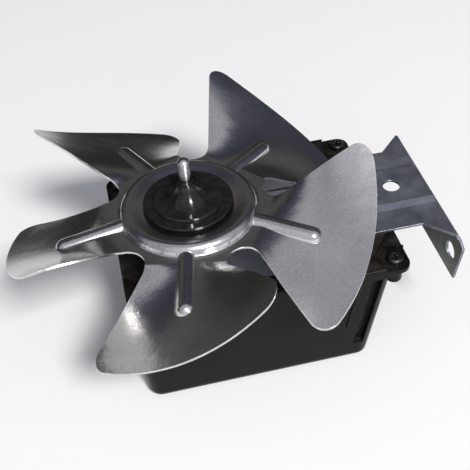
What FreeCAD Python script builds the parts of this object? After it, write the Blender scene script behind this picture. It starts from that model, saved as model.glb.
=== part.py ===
"""Freezer fan motor: a closed housing with a shaded-pole motor inside, a steel bracket on its lid
and a stamped five-blade fan on the shaft.

Millimetres. The origin is where the motor's axis meets the flat underside of the housing.
+Z runs up the shaft, +X along the long side of the housing, and -Y is the front.
"""
import FreeCAD, Part
import math
import os

from FreeCAD import Vector

# Fan, one stamped sheet
FAN_RADIUS = 86.0
FAN_PLANE_HEIGHT = 90.5
FAN_SHEET = 1.0
BLADE_COUNT = 5
FIRST_RIB_ANGLE = -102.0
RING_BASE_RADIUS = 33.3
RING_CREST_RADIUS = 28.8
RING_CREST_HEIGHT = 4.4
HUB_SEAT_RADIUS = 20.5
HUB_SEAT_HEIGHT = 3.0
HUB_HOLE_RADIUS = 12.0
BEND_LINE = 36.0
NOTCH_RADIUS = 8.4
NOTCH_CENTRE_RADIUS = 44.5
NOTCH_ANGLE = 35.65
GAP_SHARE_OF_RADIUS = 0.237
CORNER_SHARE_OF_RADIUS = 0.093
BLADE_DROP = 5.25
BLADE_PITCH = 0.741
BLADE_CUP = 0.008
BLADE_TWIST = 0.0000636
BLADE_EARLY_BEND = 0.5
BEND_SOFTNESS = 0.04
RIB_REACH = 63.4
RIB_RADIUS = 4.6
RIB_RISE = 2.6

# Hub and shaft
SHAFT_RADIUS = 2.75
SHAFT_TIP_HEIGHT = 119.5
SHAFT_TAIL = 5.5
SHAFT_DOME = 1.6
SHAFT_CHAMFER = 0.5
HUB_BOSS_RADIUS = 4.3
HUB_BOSS_HEIGHT = 16.5
HUB_FLARE_RADIUS = 10.0
HUB_TIER_RADIUS = 16.4
HUB_TIER_THICKNESS = 1.4
HUB_TIER_ROUND = 1.0
HUB_DISC_RADIUS = 20.8
HUB_DISC_THICKNESS = 2.4
HUB_DISC_ROUND = 0.7
HUB_BEVEL_WIDTH = 2.2
HUB_BEVEL_RISE = 1.4
HUB_LOWER_RADIUS = 15.5
HUB_LOWER_THICKNESS = 2.2
HUB_SLEEVE_LENGTH = 11.0
HUB_SLEEVE_RADIUS = 5.3
HUB_SLEEVE_TAPER = 1.0
HUB_EDGE_CHAMFER = 0.6

# Housing body
BOX_CENTRE_Y = 13.0
BODY_RIM_HEIGHT = 57.2
BODY_INSET_LEFT = 1.2
BODY_INSET_RIGHT = 7.4
BODY_INSET_SIDE = 2.8
BODY_TAPER_LEFT = 1.3
BODY_TAPER_RIGHT = 10.1
BODY_TAPER_SIDE = 1.0
BODY_CORNER = 7.0
BODY_FLOOR_ROUND = 5.0
BODY_WALL = 2.4
BODY_FLOOR = 3.0
RIM_INSET_LEFT = 0.5
RIM_INSET_RIGHT = 1.6
RIM_INSET_SIDE = 1.6
RIM_THICKNESS = 3.6
RIM_CORNER = 6.5
SLOT_WIDTH = 5.4
SLOT_DEPTH = 3.2
SLOT_FROM_RIGHT = 5.6
SLOT_BOTTOM = 11.5
SLOT_SKIN = 1.8
WALL_RIB_FROM_RIGHT = 16.0
WALL_RIB_WIDTH = 1.6
WALL_RIB_PROUD = 0.9
WALL_RIB_BOTTOM = 26.0

# Lid
LID_LEFT = -36.5
LID_RIGHT = 97.0
LID_DEPTH = 105.0
LID_THICKNESS = 4.2
LID_CORNER = 5.5
LID_EDGE_ROUND = 0.8
PLATFORM_RISE = 0.8
PLATFORM_INSET = 2.6
PLATFORM_CORNER = 3.5
CORNER_SCREW_FROM_LEFT = 7.6
CORNER_SCREW_FROM_RIGHT = 6.6
CORNER_SCREW_FROM_FRONT = 7.0
CORNER_BOSS_DEPTH = 6.4
CORNER_BOSS_WALL = 2.0
BOSS_FOOT_ROUND = 1.9
CORNER_POCKET_RADIUS = 9.3
CORNER_POCKET_LENGTH = 34.0
CORNER_POCKET_LEAN = 40.0
POCKET_DEPTH = 2.0
SHAFT_HOLE_RADIUS = 8.0
SHAFT_COLLAR_WALL = 2.2
SHAFT_COLLAR_RISE = 4.0
LOCATING_LIP_DEPTH = 2.6
LOCATING_LIP_WALL = 1.8

# Mounting bracket
STRAP_SHEET = 1.2
STRAP_HALF_WIDTH = 29.2
PLATE_HALF_WIDTH = 43.0
PLATE_LEFT = -24.0
PLATE_RIGHT = 48.0
STRAP_RIGHT = 124.4
WEB_HALF_WIDTH = 15.8
WEB_SLOPE_WIDTH = 3.4
WEB_RISE = 1.5
END_FLANGE_HEIGHT = 28.0
END_BEND_RADIUS = 2.0
END_HALF_WIDTH = 41.0
END_FRONT_EAR = 7.0
END_BACK_EAR = 1.5
END_EAR_DEPTH = 4.0
END_FOOT_HALF = 43.0
WEB_HOLE_RADIUS = 4.3
WEB_HOLE_X = 104.9
END_HOLE_RADIUS = 4.6
END_HOLE_HALF_SPACING = 36.4
END_HOLE_DEPTH = 14.6
PLATE_SHAFT_HOLE_RADIUS = 14.0

# Motor
CORE_BOTTOM = 20.0
CORE_HEIGHT = 24.0
CORE_HALF_WIDTH = 25.0
CORE_LEFT = -25.0
CORE_RIGHT = 58.0
CORE_CORNER = 3.0
YOKE_WIDTH = 14.0
WINDOW_LEFT = 27.0
WINDOW_HALF_WIDTH = 14.0
POLE_SLOT = 3.0
POLE_BRIDGE = 1.5
DOVETAIL_DEPTH = 3.0
DOVETAIL_SPREAD = 1.5
DOVETAIL_INSET = 1.5
ROTOR_RADIUS = 16.0
AIR_GAP = 0.5
CAGE_BARS = 10
CAGE_BAR_RADIUS = 1.3
CAGE_BAR_CIRCLE = 13.4
CAGE_RING_INNER = 9.5
CAGE_RING_OUTER = 15.4
CAGE_RING_HEIGHT = 3.0
SHADING_WIRE_RADIUS = 1.1
SHADING_CIRCLE = 19.2
SHADING_FIRST_ANGLE = 22.0
SHADING_SECOND_ANGLE = 58.0
BOBBIN_WALL = 1.2
BOBBIN_FLANGE = 1.2
WINDING_THICKNESS = 9.0
WINDING_CORNER = 6.0
BOBBIN_LIP = 1.2
BRACKET_SPACING = 21.0
BRACKET_FOOT_HALF_WIDTH = 4.6
BRACKET_FOOT_INNER = 17.6
BRACKET_STAND = 10.0
BRACKET_BRIDGE = 3.2
BEARING_BALL_RADIUS = 6.6
BEARING_HALF_LENGTH = 4.2
BEARING_HOUSING_RADIUS = 10.4
FELT_OUTER_RADIUS = 8.4
FELT_THICKNESS = 1.8
RETAINER_SHEET = 0.5
RETAINER_SPACE = 1.5
RETAINER_NOTCH = 1.6
RETAINER_NOTCH_DEPTH = 2.6
THRUST_WASHER_RADIUS = 5.0

# Fasteners
SCREW_RADIUS = 2.0
SCREW_HEAD_RADIUS = 3.8
SCREW_HEAD_HEIGHT = 2.6
SCREW_HEAD_ROUND = 1.2
SCREW_DRIVE_REACH = 1.9
SCREW_DRIVE_WIDTH = 0.8
SCREW_DRIVE_DEPTH = 1.4
BOSS_WALL = 2.4
BOSS_END = 1.6
LID_SCREW_LENGTH = 7.5
LID_SCREW_FREE = 0.5
MOTOR_SCREW_SHORT = 0.5
POST_HOLE_PAST = 2.5
BRACKET_SCREW_LENGTH = 9.0
BRACKET_SCREW_X = (-18.0, 42.0)
BRACKET_SCREW_HALF_SPACING = 37.0

# Terminals and cable entry
TAB_WIDTH = 6.3
TAB_SHEET = 0.8
TAB_LENGTH = 8.0
TAB_SPACING = 11.0
TAB_PAD_HEIGHT = 1.0
TAB_PAD_DEPTH = 4.0
TAB_SEAT_DEPTH = 1.8
TAB_SLOT = 0.05
TAB_CHAMFER = 1.2
TAB_HOLE_RADIUS = 0.9
TAB_HOLE_FROM_END = 4.0
GROMMET_X = 52.0
GROMMET_HEIGHT = 34.0
GROMMET_BORE_RADIUS = 3.2
GROMMET_NECK_RADIUS = 5.4
GROMMET_FLANGE_RADIUS = 8.0
GROMMET_FLANGE = 1.8
GROMMET_CHAMFER = 1.2

# Clearances
PRESS_CLEARANCE = 0.02
RUNNING_CLEARANCE = 0.03
LOOSE_CLEARANCE = 0.15
SEAT_GAP = 0.3

# Derived places
BODY_LEFT_AT_RIM = LID_LEFT + BODY_INSET_LEFT
BODY_RIGHT_AT_RIM = LID_RIGHT - BODY_INSET_RIGHT
BODY_DEPTH_AT_RIM = LID_DEPTH - 2 * BODY_INSET_SIDE
BODY_LEFT_AT_FLOOR = BODY_LEFT_AT_RIM + BODY_TAPER_LEFT
BODY_RIGHT_AT_FLOOR = BODY_RIGHT_AT_RIM - BODY_TAPER_RIGHT
BODY_DEPTH_AT_FLOOR = BODY_DEPTH_AT_RIM - 2 * BODY_TAPER_SIDE
LID_UNDERSIDE = BODY_RIM_HEIGHT + RIM_THICKNESS
LID_TOP = LID_UNDERSIDE + LID_THICKNESS
STRAP_SEAT = LID_TOP + PLATFORM_RISE
BOX_FRONT = BOX_CENTRE_Y - LID_DEPTH / 2
BOX_BACK = BOX_CENTRE_Y + LID_DEPTH / 2
CORE_TOP = CORE_BOTTOM + CORE_HEIGHT
BOBBIN_REACH = SEAT_GAP + BOBBIN_WALL + WINDING_THICKNESS + BOBBIN_LIP
YOKE_LEFT = CORE_RIGHT - YOKE_WIDTH
FRONT_BEARING_HEIGHT = CORE_TOP + BRACKET_STAND
REAR_BEARING_HEIGHT = CORE_BOTTOM - BRACKET_STAND
SECTOR = 360.0 / BLADE_COUNT
DEEP = 200.0
UP = Vector(0, 0, 1)


def cylinder(radius, bottom, top, x=0.0, y=0.0):
    return Part.makeCylinder(radius, top - bottom, Vector(x, y, bottom))


def tube(outer, inner, bottom, top, x=0.0, y=0.0):
    return cylinder(outer, bottom, top, x, y).cut(cylinder(inner, bottom, top, x, y))


def block(x1, x2, y1, y2, z1, z2):
    return Part.makeBox(x2 - x1, y2 - y1, z2 - z1, Vector(x1, y1, z1))


def prism(points, bottom, top):
    corners = [Vector(x, y, bottom) for x, y in points]
    face = Part.Face(Part.makePolygon(corners + corners[:1]))
    return face.extrude(Vector(0, 0, top - bottom))


def turned(edges):
    """The solid turned about the motor's axis from a closed section."""
    return Part.Face(Part.Wire(edges)).revolve(Vector(0, 0, 0), UP, 360)


def chain(points):
    """Straight edges through (radius, height) points of a section."""
    corners = [Vector(r, 0, z) for r, z in points]
    return [Part.makeLine(a, b) for a, b in zip(corners, corners[1:])]


def lofted(sections):
    """The solid between two flat outlines given as lists of points."""
    wires = [Part.makePolygon(points + points[:1]) for points in sections]
    return Part.makeLoft(wires, True, True)


def at_places(places, radius, bottom, top):
    return [cylinder(radius, bottom, top, x, y) for x, y in places]


def rounded_rectangle(x1, x2, depth, radius, height):
    """A rounded rectangle centred on the housing's long axis, as one wire."""
    y1 = BOX_CENTRE_Y - depth / 2
    y2 = BOX_CENTRE_Y + depth / 2
    edges = []
    corners = [(x2 - radius, y1 + radius, -90), (x2 - radius, y2 - radius, 0),
               (x1 + radius, y2 - radius, 90), (x1 + radius, y1 + radius, 180)]
    ends = []
    for x, y, start in corners:
        arc = Part.makeCircle(radius, Vector(x, y, height), UP, start, start + 90)
        ends.append((arc.Vertexes[0].Point, arc.Vertexes[-1].Point, arc))
    for number, (first, last, arc) in enumerate(ends):
        following = ends[(number + 1) % 4][0]
        edges.append(arc)
        edges.append(Part.makeLine(last, following))
    return Part.Wire(edges)


def slab(x1, x2, depth, radius, bottom, top):
    face = Part.Face(rounded_rectangle(x1, x2, depth, radius, bottom))
    return face.extrude(Vector(0, 0, top - bottom))


def lofted_box(lower, upper, radius, bottom, top):
    """A tapered box between two (left, right, depth) outlines."""
    wires = [rounded_rectangle(*lower, radius, bottom), rounded_rectangle(*upper, radius, top)]
    return Part.makeLoft(wires, True, True)


def spun(shape, angle):
    copy = shape.copy()
    copy.rotate(Vector(0, 0, 0), UP, angle)
    return copy


def rim_lift(reach, angle):
    """How far the blade is bent above the fan's plane, by its reach from the bend line (0) to the rim (1)
    and its angle from the rib."""
    eased = reach * reach / (reach + BEND_SOFTNESS) * (1 + BEND_SOFTNESS)
    share = eased * (1 + BLADE_EARLY_BEND * (1 - reach))
    return share * (-BLADE_DROP + BLADE_PITCH * angle + BLADE_CUP * angle ** 2 + BLADE_TWIST * angle ** 3)


def sheet_point(reach, angle):
    """A point of the bent sheet's upper side. The blade's rib lies along +X, the bend line square to it."""
    turn = math.radians(angle)
    inner = Vector(BEND_LINE, BEND_LINE * math.tan(turn), 0)
    outer = Vector(FAN_RADIUS * math.cos(turn), FAN_RADIUS * math.sin(turn), 0)
    return inner + (outer - inner) * reach + Vector(0, 0, rim_lift(reach, angle))


def blade_point(reach, angle, offset):
    """The same point moved square to the sheet."""
    if reach == 0:
        return sheet_point(0, angle) + UP * offset
    step = 0.001
    outward = sheet_point(reach + step, angle) - sheet_point(reach - step, angle)
    sideways = sheet_point(reach, angle + step) - sheet_point(reach, angle - step)
    return sheet_point(reach, angle) + outward.cross(sideways).normalize() * offset


def blade_surface(offset):
    half = SECTOR / 2
    rows = []
    for i in range(9):
        reach = 1.06 * (i / 8) ** 1.3
        rows.append([blade_point(reach, -half + 2 * half * j / 8, offset) for j in range(9)])
    surface = Part.BSplineSurface()
    surface.interpolate(rows)
    return surface


def blade_layer(upper, lower):
    """The solid between two offsets of one blade's bent surface, out to past the rim."""
    top = blade_surface(upper).toShape()
    bottom = blade_surface(lower).toShape()
    sides = [Part.makeRuledSurface(a, b) for a, b in zip(top.Edges, bottom.Edges)]
    shell = Part.makeShell([top, bottom] + sides)
    shell.sewShape()
    solid = Part.makeSolid(shell)
    if solid.Volume < 0:
        solid.reverse()
    return solid


def notch_cutter():
    """What is cut away between two blades: a round-bottomed slot that widens to the rim."""
    middle = Vector(NOTCH_CENTRE_RADIUS, 0, 0)
    reach = FAN_RADIUS * 1.07
    half = GAP_SHARE_OF_RADIUS * FAN_RADIUS / 2
    widest = NOTCH_RADIUS - 0.05
    corners = [(middle.x, -widest), (reach, -half), (reach, half), (middle.x, widest)]
    cutter = prism(corners, 0, DEEP).fuse(cylinder(NOTCH_RADIUS, 0, DEEP, middle.x, 0))
    return spun(cutter, NOTCH_ANGLE)


def fan_outline():
    """The fan's plan as a tall prism: five blades, round notches and rounded corners."""
    notch = notch_cutter()
    plan = cylinder(FAN_RADIUS, 0, DEEP).cut([spun(notch, SECTOR * k) for k in range(BLADE_COUNT)])
    return plan.makeFillet(CORNER_SHARE_OF_RADIUS * FAN_RADIUS, [e for e in plan.Edges if is_rim_corner(e)])


def is_rim_corner(edge):
    """Whether an edge of the plan is one of the upright ones where a notch meets the rim."""
    ends = [v.Point for v in edge.Vertexes]
    if len(ends) != 2 or abs(ends[0].z - ends[1].z) < DEEP / 2:
        return False
    return abs(math.hypot(ends[0].x, ends[0].y) - FAN_RADIUS) < 0.1


def ring_profile():
    """The pressed ring's section as (radius, height) points of the sheet's upper side."""
    crest = RING_CREST_HEIGHT
    inside = RING_CREST_RADIUS - HUB_SEAT_RADIUS
    outside = RING_BASE_RADIUS - RING_CREST_RADIUS
    drop = crest - HUB_SEAT_HEIGHT
    points = [(HUB_SEAT_RADIUS, HUB_SEAT_HEIGHT),
              (HUB_SEAT_RADIUS + inside * 0.35, HUB_SEAT_HEIGHT + drop * 0.28),
              (HUB_SEAT_RADIUS + inside * 0.72, HUB_SEAT_HEIGHT + drop * 0.85),
              (RING_CREST_RADIUS, crest),
              (RING_CREST_RADIUS + outside * 0.42, crest * 0.80),
              (RING_CREST_RADIUS + outside * 0.72, crest * 0.30),
              (RING_BASE_RADIUS, 0.0)]
    return points


def spline_along(points, start_slope, end_slope):
    curve = Part.BSplineCurve()
    places = [Vector(r, 0, z) for r, z in points]
    curve.interpolate(places, InitialTangent=start_slope, FinalTangent=end_slope)
    return curve.toShape()


def offset_profile(points, distance):
    """The same section moved square to the sheet by a distance, downwards."""
    moved = []
    for k, (r, z) in enumerate(points):
        before = points[max(k - 1, 0)]
        after = points[min(k + 1, len(points) - 1)]
        if k in (0, len(points) - 1):
            direction = (1.0, 0.0)
        else:
            length = math.hypot(after[0] - before[0], after[1] - before[1])
            direction = ((after[0] - before[0]) / length, (after[1] - before[1]) / length)
        moved.append((r + direction[1] * distance, z - direction[0] * distance))
    return moved


def fan_dish():
    """The fan's middle: hub seat, pressed ring and the flat that the blades are bent from."""
    level = Vector(1, 0, 0)
    upper = ring_profile()
    lower = offset_profile(upper, FAN_SHEET)
    outer = RING_BASE_RADIUS + 0.4
    edges = [spline_along(upper, level, level), spline_along(lower, level, level)]
    edges += chain([upper[0], (HUB_HOLE_RADIUS, upper[0][1]), (HUB_HOLE_RADIUS, lower[0][1]), lower[0]])
    edges += chain([lower[-1], (outer, lower[-1][1]), (outer, upper[-1][1]), upper[-1]])
    dish = turned(Part.sortEdges(edges)[0])
    half = math.radians(SECTOR / 2)
    corner = BEND_LINE / math.cos(half)
    turns = [math.radians(SECTOR * k) + half for k in range(BLADE_COUNT)]
    flat = prism([(corner * math.cos(a), corner * math.sin(a)) for a in turns], -FAN_SHEET, 0)
    return dish, flat.cut(cylinder(outer, -FAN_SHEET, 0))


def rib_pill(radius, overshoot):
    """A round-ended bar along a blade's rib line, from inside the ring to the rib's outer end."""
    start = Vector(RING_BASE_RADIUS - 2.5 - overshoot, 0, RIB_RISE - RIB_RADIUS)
    end_radius = RIB_REACH - RIB_RADIUS
    end_reach = (end_radius - BEND_LINE) / (FAN_RADIUS - BEND_LINE)
    end = Vector(end_radius, 0, RIB_RISE - RIB_RADIUS + rim_lift(end_reach, 0))
    axis = end - start
    bar = Part.makeCylinder(radius, axis.Length, start, axis)
    return bar.fuse([Part.makeSphere(radius, end), Part.makeSphere(radius, start)])


def fan_blades():
    """One stamped sheet: a ring pressed round the hub seat, five bent blades, and a hollow rib along each."""
    dish, flat = fan_dish()
    outline = fan_outline()
    outline.translate(Vector(0, 0, -DEEP / 2))
    blade = blade_layer(0.0, -FAN_SHEET).common(outline)
    middle = -FAN_SHEET / 2
    depth = 2 * RIB_RADIUS
    under = blade_layer(middle, middle - depth)
    under_flat = block(0, BEND_LINE, -depth, depth, middle - depth, middle)
    cap = rib_pill(RIB_RADIUS, 0.0).cut([under, under_flat])
    hollow = rib_pill(RIB_RADIUS - FAN_SHEET, -FAN_SHEET - 0.4)
    turns = [SECTOR * k for k in range(BLADE_COUNT)]
    sheet = flat.common(outline).fuse([dish] + [spun(blade, a) for a in turns])
    sheet = sheet.fuse([spun(cap, a) for a in turns])
    sheet = sheet.cut([spun(hollow, a) for a in turns])
    sheet.rotate(Vector(0, 0, 0), UP, FIRST_RIB_ANGLE)
    sheet.translate(Vector(0, 0, FAN_PLANE_HEIGHT))
    return sheet.removeSplitter()


def quarter(start, end, bulge):
    """A quarter circle of a section between two (radius, height) points, bulging towards the third."""
    share = math.sqrt(0.5)
    middle = [bulge[k] * share + (start[k] + end[k] - bulge[k]) * (1 - share) for k in (0, 1)]
    return Part.Arc(*[Vector(r, 0, z) for r, z in (start, middle, end)]).toShape()


def fan_hub():
    """The moulded hub: a boss that flares into a low tier on a disc and grips the sheet's hole."""
    seat = FAN_PLANE_HEIGHT + HUB_SEAT_HEIGHT
    under = seat - FAN_SHEET
    lower = under - HUB_LOWER_THICKNESS
    foot = lower - HUB_SLEEVE_LENGTH
    disc_top = seat + HUB_DISC_THICKNESS
    top = disc_top + HUB_TIER_THICKNESS
    tip = FAN_PLANE_HEIGHT + HUB_BOSS_HEIGHT
    bore = SHAFT_RADIUS + PRESS_CLEARANCE
    grip = HUB_HOLE_RADIUS - PRESS_CLEARANCE
    boss = HUB_BOSS_RADIUS
    flare = HUB_FLARE_RADIUS
    tier = HUB_TIER_RADIUS
    soft = HUB_TIER_ROUND
    disc = HUB_DISC_RADIUS
    rim = HUB_DISC_ROUND
    edge = HUB_EDGE_CHAMFER
    curves = [quarter((boss, top + flare), (boss + flare, top), (boss, top)),
              quarter((tier - soft, top), (tier, top - soft), (tier, top)),
              quarter((disc - rim, disc_top), (disc, disc_top - rim), (disc, disc_top))]
    tier_side = chain([(tier, top - soft), (tier, disc_top), (disc - rim, disc_top)])
    below = chain([(disc, disc_top - rim), (disc, seat + HUB_BEVEL_RISE), (disc - HUB_BEVEL_WIDTH, seat),
                   (grip, seat), (grip, under), (HUB_LOWER_RADIUS, under), (HUB_LOWER_RADIUS, lower),
                   (HUB_SLEEVE_RADIUS + HUB_SLEEVE_TAPER, lower), (HUB_SLEEVE_RADIUS, foot), (bore, foot),
                   (bore, tip), (boss - edge, tip), (boss, tip - edge), (boss, top + flare)])
    edges = curves + chain([(boss + flare, top), (tier - soft, top)]) + tier_side + below
    return turned(Part.sortEdges(edges)[0])


def rotor_shaft():
    """Ground steel shaft with a chamfered foot and a domed tip."""
    tip = SHAFT_TIP_HEIGHT
    shoulder = tip - SHAFT_DOME
    foot = REAR_BEARING_HEIGHT - SHAFT_TAIL
    rod = cylinder(SHAFT_RADIUS, foot, shoulder)
    rod = rod.makeChamfer(SHAFT_CHAMFER, [e for e in rod.Edges if e.BoundBox.ZMax < foot + 1e-3])
    ball_radius = (SHAFT_RADIUS ** 2 + SHAFT_DOME ** 2) / (2 * SHAFT_DOME)
    ball = Part.makeSphere(ball_radius, Vector(0, 0, tip - ball_radius))
    return rod.fuse(ball.common(cylinder(SHAFT_RADIUS, shoulder, tip))).removeSplitter()


def cage_bar_places():
    turns = [2 * math.pi * k / CAGE_BARS for k in range(CAGE_BARS)]
    return [(CAGE_BAR_CIRCLE * math.cos(a), CAGE_BAR_CIRCLE * math.sin(a)) for a in turns]


def rotor_core():
    """The rotor's pressed stack, with a round hole for each bar of the cage."""
    core = tube(ROTOR_RADIUS, SHAFT_RADIUS + PRESS_CLEARANCE, CORE_BOTTOM, CORE_TOP)
    return core.cut(at_places(cage_bar_places(), CAGE_BAR_RADIUS + PRESS_CLEARANCE, CORE_BOTTOM, CORE_TOP))


def rotor_cage():
    """The cast cage: bars through the stack, joined by a ring at each end."""
    upper = tube(CAGE_RING_OUTER, CAGE_RING_INNER, CORE_TOP, CORE_TOP + CAGE_RING_HEIGHT)
    lower = tube(CAGE_RING_OUTER, CAGE_RING_INNER, CORE_BOTTOM - CAGE_RING_HEIGHT, CORE_BOTTOM)
    bars = at_places(cage_bar_places(), CAGE_BAR_RADIUS, CORE_BOTTOM - 1, CORE_TOP + 1)
    return upper.fuse([lower] + bars).removeSplitter()


def thrust_washers():
    """A spacing sleeve on each side of the rotor, out to the bearing."""
    inner = SHAFT_RADIUS + PRESS_CLEARANCE
    top_end = FRONT_BEARING_HEIGHT - BEARING_HALF_LENGTH - SEAT_GAP
    low_end = REAR_BEARING_HEIGHT + BEARING_HALF_LENGTH + SEAT_GAP
    upper = tube(THRUST_WASHER_RADIUS, inner, CORE_TOP, top_end)
    lower = tube(THRUST_WASHER_RADIUS, inner, low_end, CORE_BOTTOM)
    return Part.makeCompound([upper, lower])


def bearing(height):
    """A sintered bush: a ball cut flat at both ends, bored for the shaft."""
    ball = Part.makeSphere(BEARING_BALL_RADIUS, Vector(0, 0, height))
    bore = SHAFT_RADIUS + RUNNING_CLEARANCE
    half = BEARING_HALF_LENGTH
    return ball.common(tube(BEARING_BALL_RADIUS + 1, bore, height - half, height + half))


def bearing_bracket(side):
    """A cast bridge over one end of the motor: two feet on the core and a housing for the bush, the felt and
    its retainer. side is 1 above the core and -1 below it."""
    foot = BRACKET_FOOT_HALF_WIDTH
    outer = CORE_HALF_WIDTH
    bridge_low = BRACKET_STAND - BRACKET_BRIDGE / 2
    bridge_high = BRACKET_STAND + BRACKET_BRIDGE / 2
    feet = [block(-foot, foot, BRACKET_FOOT_INNER, outer, 0, bridge_high),
            block(-foot, foot, -outer, -BRACKET_FOOT_INNER, 0, bridge_high)]
    bridge = block(-foot, foot, -outer, outer, bridge_low, bridge_high)
    housing_low = BRACKET_STAND - BEARING_HALF_LENGTH
    housing_high = BRACKET_STAND + BEARING_HALF_LENGTH + FELT_THICKNESS
    casting = bridge.fuse(feet + [cylinder(BEARING_HOUSING_RADIUS, housing_low, housing_high)])
    ball_seat = Part.makeSphere(BEARING_BALL_RADIUS + PRESS_CLEARANCE, Vector(0, 0, BRACKET_STAND))
    mouth = cylinder(FELT_OUTER_RADIUS + LOOSE_CLEARANCE, BRACKET_STAND, housing_high)
    relief = cylinder(THRUST_WASHER_RADIUS + LOOSE_CLEARANCE * 5, housing_low - 1, BRACKET_STAND)
    holes = at_places(motor_screw_places(), SCREW_RADIUS + LOOSE_CLEARANCE, -1, housing_high)
    return onto_core(casting.cut([ball_seat, mouth, relief] + holes), side)


def motor_screw_places():
    return [(0, -BRACKET_SPACING), (0, BRACKET_SPACING)]


def onto_core(shape, side):
    """Puts a piece made above height 0 onto the core's top face, or mirrored onto its bottom face."""
    if side > 0:
        shape.translate(Vector(0, 0, CORE_TOP))
        return shape
    flipped = shape.mirror(Vector(0, 0, 0), UP)
    flipped.translate(Vector(0, 0, CORE_BOTTOM))
    return flipped


def oil_felt(side):
    low = BRACKET_STAND + BEARING_HALF_LENGTH
    ring = tube(FELT_OUTER_RADIUS, SHAFT_RADIUS + SEAT_GAP, low, low + FELT_THICKNESS)
    return onto_core(ring, side)


def bearing_retainer(side):
    """A pressed steel ring with three notches that holds the felt and the bush in the casting."""
    low = BRACKET_STAND + BEARING_HALF_LENGTH + FELT_THICKNESS
    high = low + RETAINER_SHEET
    half = RETAINER_NOTCH / 2
    inner = SHAFT_RADIUS + RETAINER_SPACE
    ring = tube(BEARING_HOUSING_RADIUS, inner, low, high)
    notch = block(SHAFT_RADIUS, inner + RETAINER_NOTCH_DEPTH, -half, half, low, high)
    return onto_core(ring.cut([spun(notch, 120 * k) for k in range(3)]), side)


def shading_places():
    """Where each shading ring's two legs pass through the core, one ring on each pole."""
    places = []
    for base in (0, 180):
        legs = []
        for angle in (SHADING_FIRST_ANGLE, SHADING_SECOND_ANGLE):
            turn = math.radians(base + angle)
            legs.append((SHADING_CIRCLE * math.cos(turn), SHADING_CIRCLE * math.sin(turn)))
        places.append(legs)
    return places


def yoke_outline(spread):
    """The coil's leg between the arms, with a dovetail at each end. spread widens it for the seat."""
    y = WINDOW_HALF_WIDTH
    tip = y + DOVETAIL_DEPTH + spread
    middle = (YOKE_LEFT + CORE_RIGHT) / 2
    half = YOKE_WIDTH / 2 + spread
    wide = half - DOVETAIL_INSET
    neck = wide - DOVETAIL_SPREAD
    upper = [(middle + half, y), (middle + neck, y), (middle + wide, tip), (middle - wide, tip),
             (middle - neck, y), (middle - half, y)]
    return upper + [(x, -v) for x, v in reversed(upper)]


def stator_core():
    """The pressed C-shaped stack: bore, pole slot, coil window and dovetail seats for the coil's leg."""
    low, high = CORE_BOTTOM, CORE_TOP
    body = block(CORE_LEFT, CORE_RIGHT, -CORE_HALF_WIDTH, CORE_HALF_WIDTH, low, high)
    body = body.makeFillet(CORE_CORNER, [e for e in body.Edges if abs(e.Vertexes[0].Z - e.Vertexes[1].Z) > 1])
    bore = cylinder(ROTOR_RADIUS + AIR_GAP, low, high)
    window = block(WINDOW_LEFT, CORE_RIGHT + 1, -WINDOW_HALF_WIDTH, WINDOW_HALF_WIDTH, low, high)
    slot = block(0, WINDOW_LEFT + 1, -POLE_SLOT / 2, POLE_SLOT / 2, low, high)
    notch_end = -ROTOR_RADIUS - AIR_GAP - POLE_BRIDGE
    notch = block(CORE_LEFT, notch_end, -POLE_SLOT / 2, POLE_SLOT / 2, low, high)
    seats = prism(yoke_outline(PRESS_CLEARANCE), low, high)
    legs = [place for pair in shading_places() for place in pair]
    leg_holes = at_places(legs, SHADING_WIRE_RADIUS + LOOSE_CLEARANCE, low, high)
    screw_holes = at_places(motor_screw_places(), SCREW_RADIUS + LOOSE_CLEARANCE, low, high)
    return body.cut([bore, window, slot, notch, seats] + leg_holes + screw_holes)


def coil_yoke():
    return prism(yoke_outline(0.0), CORE_BOTTOM, CORE_TOP)


def shading_rings():
    """A closed loop of copper wire round part of each pole."""
    return Part.makeCompound([shading_ring(*legs) for legs in shading_places()])


def shading_ring(first, second):
    """One loop: its two legs stand at the two (x, y) places, its ends lie on the core's faces."""
    lift = SHADING_WIRE_RADIUS + LOOSE_CLEARANCE
    bend = lift
    share = bend * (1 - math.sqrt(0.5))
    low = CORE_BOTTOM - lift
    height = CORE_TOP + lift - low
    across = Vector(second[0] - first[0], second[1] - first[1], 0)
    width = across.Length
    across.normalize()
    origin = Vector(first[0], first[1], low)

    def at(along, up):
        return origin + across * along + UP * up

    def corner(start, middle, end):
        return Part.Arc(at(*start), at(*middle), at(*end)).toShape()

    half = width / 2
    path = [Part.makeLine(at(half, 0), at(width - bend, 0)),
            corner((width - bend, 0), (width - share, share), (width, bend)),
            Part.makeLine(at(width, bend), at(width, height - bend)),
            corner((width, height - bend), (width - share, height - share), (width - bend, height)),
            Part.makeLine(at(width - bend, height), at(bend, height)),
            corner((bend, height), (share, height - share), (0, height - bend)),
            Part.makeLine(at(0, height - bend), at(0, bend)),
            corner((0, bend), (share, share), (bend, 0)),
            Part.makeLine(at(bend, 0), at(half, 0))]
    section = Part.Wire(Part.makeCircle(SHADING_WIRE_RADIUS, at(half, 0), across))
    return Part.Wire(path).makePipeShell([section], True, False)


def bobbin_box(grow, y1, y2):
    """A box round the coil's leg, wider than it by grow on all four sides."""
    return block(YOKE_LEFT - grow, CORE_RIGHT + grow, y1, y2, CORE_BOTTOM - grow, CORE_TOP + grow)


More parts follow.
